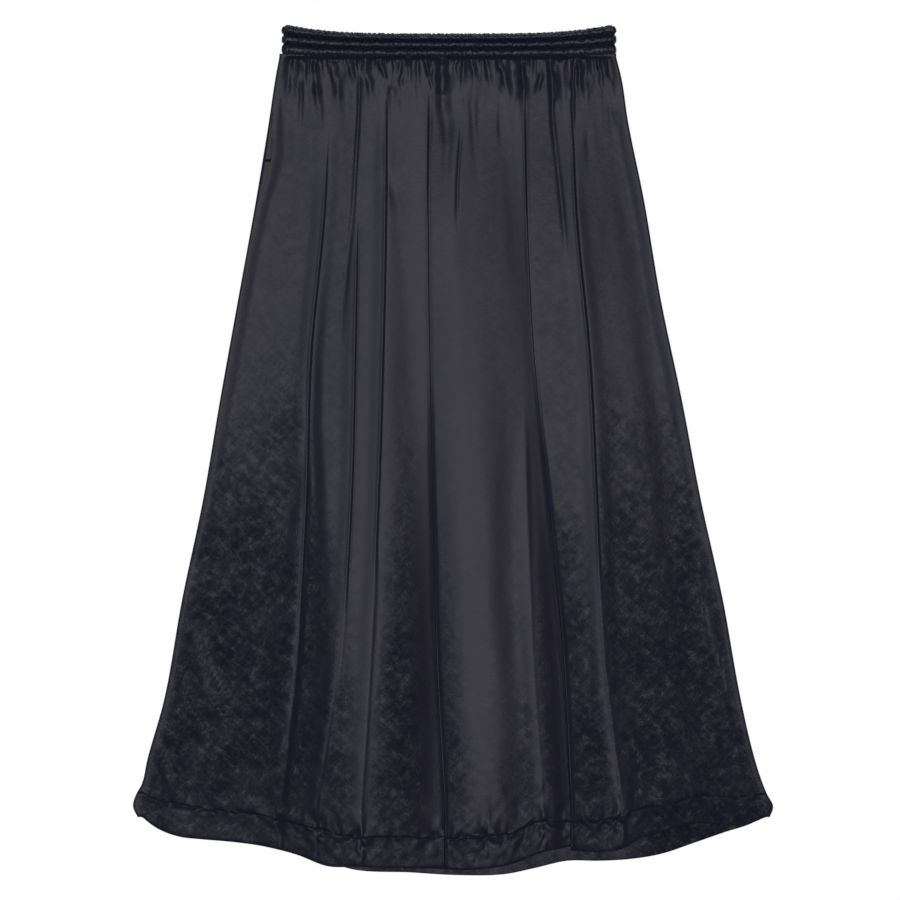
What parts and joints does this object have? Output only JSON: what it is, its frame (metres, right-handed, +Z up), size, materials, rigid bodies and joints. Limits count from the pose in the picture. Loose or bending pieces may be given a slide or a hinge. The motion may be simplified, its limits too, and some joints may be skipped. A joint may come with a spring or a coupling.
{
  "type": "maxi skirt",
  "caption": "Long flared skirt with a gathered elastic waistband, laid flat with its panels on each other and soft folds running down to a turned hem.",
  "frame": {"origin": "under the middle of the outline, on the surface that the skirt lies on", "axes": "+Y from the hem to the waistband, +X to the viewer's right, +Z up out of the surface, with the front of the skirt facing up"},
  "size_m": [0.717, 0.9535, 0.0071],
  "materials": {
    "skirt_cloth": "washed satin, charcoal navy, with a soft mottled sheen",
    "hem_cloth": "the same satin turned up, pressed and stitched",
    "band_cloth": "the same satin ruched over elastic",
    "tack_thread": "dense dark thread"
  },
  "bodies": {
    "root": {"waistband": "band_cloth", "front_panel": "skirt_cloth", "back_panel": "skirt_cloth", "front_hem": "hem_cloth", "back_hem": "hem_cloth", "bar_tack": "tack_thread"}
  },
  "joints": []
}
